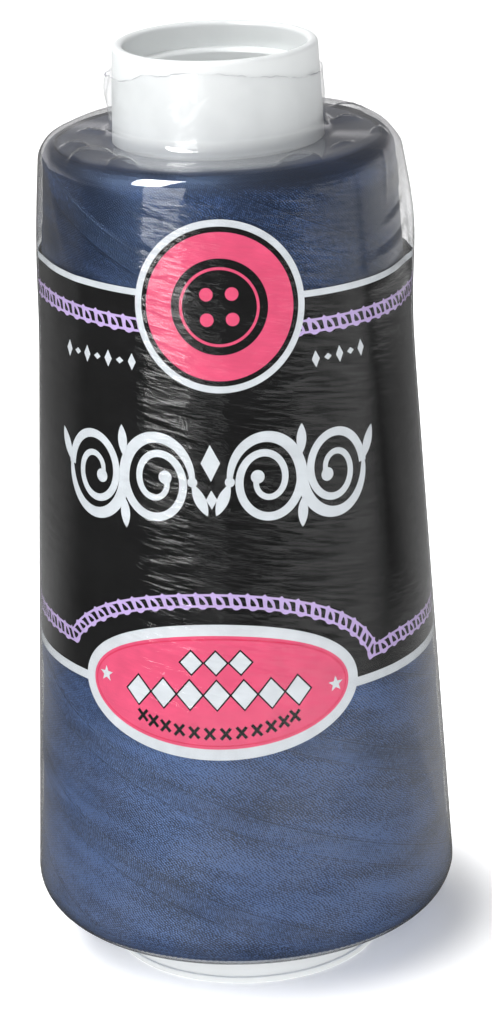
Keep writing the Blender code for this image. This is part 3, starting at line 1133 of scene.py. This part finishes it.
def make_border(name, points, lavender, black):
    """Prints one stitched border along its points: the lavender ground and the black gaps in it."""
    radius = points[-1][0] / math.pi
    path, length = along_border(points, radius)
    count = round(length / STITCH_PITCH)
    pitch = length / count
    ground = border(path, pitch, count, DEPTH_STITCH)
    gaps = windows(path, pitch, count, DEPTH_WINDOW)
    for piece_name, bm, material in [(name, ground, lavender), (name + "_gaps", gaps, black)]:
        turn_outwards(bm)
        finish(piece_name, bm, material, wall=INK)


# ---- the film ----

def neck_edge(angle):
    """The height of the film's torn edge on the neck."""
    turn = math.radians(angle)
    rise = 0.06 * math.sin(13 * turn) + 0.05 * math.sin(31 * turn + 1.0) + 0.05 * math.sin(57 * turn)
    for middle, spread, crest in EDGE_RISES:
        rise += crest * near(angle, middle, spread)
    return EDGE_HEIGHT + rise * MM


# Tucks on the shoulder: the two ends of each (x, y in mm), how far its crest bows away from the axis's
# front side (mm), and how far it stands up (mm). The film falls slowly in front of the crest.
SHOULDER_TUCKS = [
    (-19.6, -7.6, -15.4, -7.9, 3.2, 0.60),
    (-18.9, -12.8, -11.9, -13.0, 4.2, 0.80),
    (-13.9, -17.2, -9.4, -17.8, 3.4, 0.62),
    (6.6, -19.6, 12.8, -17.4, 3.4, 0.62),
    (13.4, -12.0, 16.6, -10.0, 1.2, 0.30),
    (18.6, -5.0, 20.8, -3.6, 2.0, 0.50),
    (-17.5, 1.0, -13.6, -1.2, 1.6, 0.50),
    (13.4, -0.5, 18.0, 1.5, 2.4, 0.60),
    (14.0, 8.0, 19.0, 7.0, 2.0, 0.40),
    (-4.0, 18.0, 4.0, 18.6, 1.6, 0.25),
    (-14.0, 12.5, -8.0, 16.0, 1.6, 0.20),
]
TUCK_BEHIND = 0.34
TUCK_FALL = 1.7


def shoulder_lift(place):
    """How far the shoulder's film stands up: low swells, and tucks with an arched crest."""
    x, y = place.x / MM, place.y / MM
    turn = math.radians(angle_of(place))
    lift = 0.05 * math.sin(7 * turn) + 0.04 * math.sin(11 * turn + 2.0)
    lift += 0.22 * soft_step(-1.0, 1.0, math.cos(turn - math.radians(139.0)) * 4.0 - 2.9)
    for left, left_y, right, right_y, bow, rise in SHOULDER_TUCKS:
        share = (x - left) / (right - left)
        if not 0.0 < share < 1.0:
            continue
        fade = 4.0 * share * (1.0 - share)
        chord = left_y + (right_y - left_y) * share
        in_front = chord + bow * fade - y
        if in_front >= 0.0:
            fall = max(0.0, 1.0 - in_front / (bow * fade + 0.4))
            lift += rise * fade * fall ** TUCK_FALL
        else:
            lift += rise * fade * math.exp(-(in_front / TUCK_BEHIND) ** 2)
    return lift * MM


# The neck's creases, given as the side's are
NECK_CREASES = [
    (-88, 114.8, 5, 2.6, 1.6, 0.75),
    (-100, 113.0, -12, 2.6, 1.4, 0.5),
    (76, 114.6, -20, 2.4, 1.2, 0.4),
    (142, 114.6, 15, 2.0, 2.0, 0.6),
    (200, 113.6, -10, 2.4, 2.0, 0.5),
    (-17, 114.3, 15, 0.9, 0.35, 0.20),
    (-25, 115.6, 72, 1.5, 0.32, 0.17),
    (-19, 112.3, 78, 1.3, 0.30, 0.18),
    (-29, 114.2, 64, 1.6, 0.4, 0.12),
    (-11, 113.2, 66, 1.8, 0.3, 0.16),
    (-8, 112.2, 72, 2.0, 0.35, 0.14),
    (-4, 115.4, 50, 1.8, 0.35, 0.12),
    (3, 114.2, 62, 2.4, 0.3, 0.10),
    (10, 113.0, -58, 2.2, 0.3, 0.10),
    (-30, 112.4, 74, 1.8, 0.4, 0.10),
]


def neck_lift(angle, z):
    """How far the film stands off the neck."""
    lift = 0.03 * math.sin(9 * math.radians(angle) + 0.6 * z / MM) + 0.03
    return (lift + creased(NECK_CREASES, angle, z, tube_radius(z))) * MM


def film_section():
    """The film's outer face before it stands off anywhere: tuck, lower round, side, shoulder, cove, neck."""
    centre = SIDE_LOW_RADIUS - LOWER_ROUND
    neck_radius = tube_radius(COVE_TOP) + NECK_CLING
    cove_centre = neck_radius + COVE
    tuck = [(centre - TUCK, UNDERSIDE), (centre - TUCK / 2, UNDERSIDE)]
    lower = arc(centre, SIDE_LOW, LOWER_ROUND, SIDE_LOW - UNDERSIDE, -90, 0, 12)
    rows = [*between(SIDE_LOW, FINE_ROWS, 34), *between(FINE_ROWS, SIDE_TOP, 38)]
    side = [(side_radius(z), z) for z in rows]
    upper = arc(side_radius(SIDE_TOP) - UPPER_ROUND, SIDE_TOP, UPPER_ROUND, UPPER_ROUND, 0, 90, 10)
    shoulder = [(r, SHOULDER) for r in between(upper[-1][0], cove_centre, 22)]
    cove = arc(cove_centre, COVE_TOP, COVE, COVE, 270, 180, 8)
    neck_heights = [*between(COVE_TOP, EDGE_HEIGHT, 22), EDGE_HEIGHT]
    neck = [(tube_radius(z) + NECK_CLING, z) for z in neck_heights]
    return [*tuck, *lower, *side, *upper, *shoulder, *cove, *neck]


def film_place(vert):
    """Where the film really is: pushed out by the creases of the side, the shoulder and the neck."""
    angle = angle_of(vert.co)
    angle -= FILM_CROWDING * math.sin(math.radians(angle))
    z = vert.co.z
    radius = vert.co.xy.length
    on_neck = soft_step(SHOULDER, COVE_TOP, z)
    on_top = soft_step(SIDE_HIGH, SHOULDER, z) * (1.0 - on_neck)
    on_side = soft_step(SIDE_LOW - 3 * MM, SIDE_LOW, z) * (1.0 - soft_step(SIDE_HIGH, SHOULDER, z))
    if z > COVE_TOP:
        z = COVE_TOP + (z - COVE_TOP) * (neck_edge(angle) - COVE_TOP) / (EDGE_HEIGHT - COVE_TOP)
        radius = tube_radius(z) + NECK_CLING
    out = on_side * side_lift(angle, z) + on_neck * neck_lift(angle, z)
    up = on_top * shoulder_lift(on_cone(angle, radius, z))
    return on_cone(angle, radius + out, z + up)


def haze_at(point):
    """How milky the film is at a place."""
    if point.z > COVE_TOP:
        return NECK_HAZE
    if point.xy.length < SIDE_HIGH_RADIUS - 1.5 * MM:
        return SHOULDER_HAZE
    bottom, top, milkier = LOW_HAZE
    return SIDE_HAZE + milkier * (1.0 - soft_step(bottom, top, point.z))


def make_film(film):
    """The clear sleeve, with its milkiness kept at each point."""
    bm = turned(film_section(), FILM_COLUMNS, closed=False)
    for vert in bm.verts:
        vert.co = film_place(vert)
    layer = bm.verts.layers.float.new("haze")
    for vert in bm.verts:
        vert[layer] = haze_at(vert.co)
    sleeve = finish("clear_sleeve", bm, film, wall=FILM)
    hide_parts("label_sleeve")


# Where the torn edge is curled or ragged: the middle in degrees, the half width and the thickness in mm.
EDGE_CURLS = [
    (-88, 8.0, 0.10),
    (-62, 9.0, 0.06),
    (-46, 4.0, 0.04),
    (-30, 6.0, 0.06),
    (-18, 4.0, 0.05),
    (9, 12.0, 0.025),
    (31, 7.0, 0.045),
    (48, 3.0, 0.06),
    (64, 7.0, 0.07),
    (120, 20.0, 0.06),
    (200, 30.0, 0.06),
]
EDGE_THIN = 0.016 * MM
EDGE_CURL_RADIUS = 0.05 * MM
EDGE_COLUMNS = 720


def make_torn_edge(smoky):
    """The curled rim of the film's torn edge, thick where it is ragged."""
    middle = tube_radius(EDGE_HEIGHT)
    circle = arc(middle, EDGE_HEIGHT, EDGE_CURL_RADIUS, EDGE_CURL_RADIUS, 0, 300, 5)
    bm = turned(circle, EDGE_COLUMNS, closed=True)
    for vert in bm.verts:
        angle = angle_of(vert.co)
        out, up = vert.co.xy.length - middle, vert.co.z - EDGE_HEIGHT
        thick = EDGE_THIN
        for curl, half, size in EDGE_CURLS:
            thick += size * MM * near(angle, curl, half)
        thick *= 0.6 + 0.4 * math.sin(1.9 * angle + 3.0 * math.sin(0.7 * angle))
        share = thick / EDGE_CURL_RADIUS
        z = neck_edge(angle)
        radius = tube_radius(z) + NECK_CLING + neck_lift(angle, z)
        vert.co = on_cone(angle, radius + out * share, z + up * share)
    finish("torn_edge", bm, smoky)


# ---- floor, light and camera ----

def mirrored_floor(nodes, place):
    """How bright the floor glows in the film's mirror: a painted pool of light, like a table by a window in a
    dim room, in front, and behind the cone, with a painted shadow close round the foot.
    """
    split = nodes.split(place)
    across, back = split["X"], split["Y"]
    distance = nodes.add("VectorMath", {0: place}, operation="LENGTH").outputs["Value"]
    left_slant = nodes.plus(nodes.times(across, 0.5), back)
    right_slant = nodes.plus(nodes.times(across, -0.2), back)
    right_side = nodes.times(nodes.slope(across, *LIT_RIGHT), 0.8)
    painted_pool = nodes.times(nodes.plus(right_side, 1.0), PAINTED_POOL_GLOW)
    # The pool's edges to the left and on a slant, and a painted shadow close round the cone
    for value, edge in [(across, LIT_LEFT), (left_slant, LIT_LEFT_SLANT), (distance, CLEAR_OF_PAINTED_SHADOW)]:
        painted_pool = nodes.times(nodes.slope(value, *edge), painted_pool)
    close = nodes.times(nodes.slope(distance, *LIT_CLOSE), 0.5)
    painted_pool = nodes.times(nodes.larger(nodes.slope(right_slant, *LIT_RIGHT_SLANT), close), painted_pool)
    near_glow, far_glow = FLOOR_BEHIND
    falling = nodes.times(nodes.slope(distance, *FALLING_BEHIND), far_glow - near_glow)
    rising = nodes.times(nodes.slope(distance, *RISING_FAR), FLOOR_FAR_BEHIND)
    rising = nodes.times(nodes.slope(across, *RISING_RIGHT), rising)
    behind = nodes.plus(nodes.plus(falling, rising), near_glow)
    behind = nodes.times(behind, nodes.slope(back, *STARTS_BEHIND))
    return nodes.plus(nodes.larger(painted_pool, behind), FLOOR_DIM)


def pale_floor():
    """A pale floor, evenly white to the eye and as bounced light, with a soft shadow under the cone, cast by
    the lamps and deepened by painted shadow where its glow is held back. In the film's mirror it shows a
    painted pool of light instead.
    """
    material, nodes, seen = new_finish("pale_floor")
    place = nodes.place()
    grain = nodes.noise(place, 60.0, 3.0)
    # Painted shadow: the floor's glow is held back within a small round near the foot, deepening the shadow
    # that the lamps cast
    shadow = nodes.add("VectorMath", {0: place, 1: PAINTED_SHADOW_MIDDLE}, operation="DISTANCE").outputs["Value"]
    glow = nodes.times(nodes.slope(shadow, 0.023, 0.034), FLOOR_FAR_GLOW)
    nodes.feed(seen, {
        "Base Color": nodes.ramp(grain, [(0.3, (0.88, 0.88, 0.88)), (0.7, (0.9, 0.9, 0.9))]),
        "Roughness": 0.8,
        "Emission Color": (1.0, 1.0, 1.0, 1.0),
        "Emission Strength": nodes.plus(glow, FLOOR_GLOW),
    })
    path = nodes.add("LightPath").outputs
    mirrored = nodes.add("Emission", {"Strength": mirrored_floor(nodes, place)}).outputs[0]
    bounced = nodes.add("Emission", {"Strength": FLOOR_BOUNCE}).outputs[0]
    unseen = nodes.blend(path["Is Diffuse Ray"], mirrored, bounced)
    nodes.surface(nodes.blend(path["Is Camera Ray"], unseen, seen.outputs[0]))
    return material


def make_floor():
    bm = bmesh.new()
    bmesh.ops.create_grid(bm, x_segments=1, y_segments=1, size=6.0)
    mesh = bpy.data.meshes.new("floor")
    bm.to_mesh(mesh)
    bm.free()
    floor = bpy.data.objects.new("floor", mesh)
    bpy.context.scene.collection.objects.link(floor)
    floor.data.materials.append(pale_floor())


# Light panels: azimuth in degrees, then in metres the distance from the axis, the height of the middle,
# the width and the height of the panel, and last its radiance. The low ones are what the film's side mirrors.
PANELS = {
    "window": (-35.0, 0.43, 0.021, 0.20, 0.034, 1.6),
    "window_top": (-35.0, 0.43, 0.049, 0.20, 0.022, 8.0),
    "window_edge": (-34.0, 0.44, 0.031, 0.30, 0.054, 1.1),
    "window_high": (-35.0, 0.43, 0.185, 0.19, 0.25, 3.6),
    "low_window": (-24.0, 0.28, 0.021, 0.22, 0.036, 0.8),
    "fill": (-33.0, 0.43, 0.095, 0.27, 0.13, 5.0),
    "lamp": (-50.0, 0.44, 0.52, 0.20, 0.34, 27.0),
    "front": (14.0, 0.75, 0.52, 0.40, 0.35, 6.3),
    "left": (-75.0, 0.45, 0.20, 0.30, 0.30, 1.5),
    "right": (95.0, 0.50, 0.20, 0.90, 0.40, 0.1),
    "overhead": (-110.0, 0.25, 0.60, 0.40, 0.40, 7.2),
}
MIRRORED_ONLY = ("lamp", "window", "window_top", "window_high", "window_edge", "low_window")
MATTE_ONLY = ("fill", "front", "left", "right", "overhead")


def make_lights():
    for name, (azimuth, distance, height, width, tall, radiance) in PANELS.items():
        lamp = bpy.data.lights.new(name, "AREA")
        lamp.shape = "RECTANGLE"
        lamp.size = width
        lamp.size_y = tall
        lamp.energy = radiance * math.pi * width * tall
        light = bpy.data.objects.new(name, lamp)
        light.location = on_cone(azimuth, distance, height)
        aim = Vector((0.0, 0.0, min(height, TUBE_HEIGHT / 2))) - light.location
        light.rotation_euler = aim.to_track_quat("-Z", "Y").to_euler()
        light.visible_camera = False
        light.visible_diffuse = name not in MIRRORED_ONLY
        light.visible_glossy = name not in MATTE_ONLY
        bpy.context.scene.collection.objects.link(light)


def make_room():
    """A dim room in the film's mirror, paler low down at the back, and a weak even light otherwise."""
    world = bpy.data.worlds.new("room")
    world.use_nodes = True
    nodes = Nodes(world.node_tree)
    matte = nodes.add("LightPath").outputs["Is Diffuse Ray"]
    split = nodes.split(nodes.add("TexCoord").outputs["Generated"])
    low = nodes.minus(1.0, nodes.slope(split["Z"], *HORIZON_FADES))
    horizon = nodes.times(low, nodes.slope(split["Y"], *HORIZON_STARTS))
    mirrored = nodes.maths("MULTIPLY_ADD", horizon, HORIZON_BEHIND, ROOM_MIRRORED)
    mirrored = nodes.times(nodes.minus(1.0, matte), mirrored)
    nodes.feed(nodes.nodes["Background"], {
        "Color": (0.98, 0.97, 1.0, 1.0),
        "Strength": nodes.plus(nodes.times(matte, ROOM_LIGHT), mirrored),
    })
    bpy.context.scene.world = world


CAMERA_DISTANCE = 446.39 * MM
CAMERA_ELEVATION = 19.44
CAMERA_ROLL = -2.23
CAMERA_TARGET = Vector((0.0, 0.0, 60.0 * MM))
LENS_IN_PIXELS = 3479.33
CENTRE_X, CENTRE_Y = 232.48, 501.16
IMAGE_WIDTH, IMAGE_HEIGHT = 492, 1010
SENSOR = 36.0


def make_camera():
    """The camera as fitted to the photo's outline; its frame is given in the photo's pixels."""
    up_angle = math.radians(CAMERA_ELEVATION)
    roll = math.radians(CAMERA_ROLL)
    back = Vector((0.0, -math.cos(up_angle), math.sin(up_angle)))
    right = Vector((1.0, 0.0, 0.0))
    up = Vector((0.0, math.sin(up_angle), math.cos(up_angle)))
    rolled_right = right * math.cos(roll) + up * math.sin(roll)
    rolled_up = up * math.cos(roll) - right * math.sin(roll)
    lens = bpy.data.cameras.new("camera")
    lens.sensor_width = SENSOR
    lens.lens = LENS_IN_PIXELS * SENSOR / IMAGE_HEIGHT
    lens.shift_x = (IMAGE_WIDTH / 2 - CENTRE_X) / IMAGE_HEIGHT
    lens.shift_y = (CENTRE_Y - IMAGE_HEIGHT / 2) / IMAGE_HEIGHT
    lens.clip_start = 0.01
    camera = bpy.data.objects.new("camera", lens)
    turn = Matrix((rolled_right, rolled_up, back)).transposed()
    camera.matrix_world = Matrix.Translation(CAMERA_TARGET + back * CAMERA_DISTANCE) @ turn.to_4x4()
    bpy.context.scene.collection.objects.link(camera)
    bpy.context.scene.camera = camera


def main():
    make_camera()
    plastic = moulded_plastic()
    thread = spun_thread()
    white = ink("white_ink", (0.645, 0.685, 0.72))
    black = ink("black_ink", (0.005, 0.005, 0.005), roughness=0.7)
    pink = ink("pink_ink", (0.75, 0.092, 0.195))
    deep_pink = ink("deep_pink_ink", (0.70, 0.045, 0.12))
    lavender = ink("lavender_ink", (0.55, 0.42, 0.74))
    film = clear_film()
    make_tube(plastic)
    make_package(thread)
    make_turns("lower_turns", thread, *LOWER_TURNS)
    make_turns("upper_turns", thread, *UPPER_TURNS)
    make_band(black, white)
    make_border("upper_border", upper_run(), lavender, black)
    make_border("lower_border", lower_run(), lavender, black)
    make_badge(white, black, pink)
    make_plaque(white, black, pink, deep_pink)
    make_scrollwork(white)
    make_small_rows(white)
    make_film(film)
    make_torn_edge(ink("film_edge", (0.36, 0.36, 0.39)))
    make_floor()
    make_lights()
    make_room()
    bpy.context.scene.view_settings.view_transform = "Standard"


random.seed(7)
main()
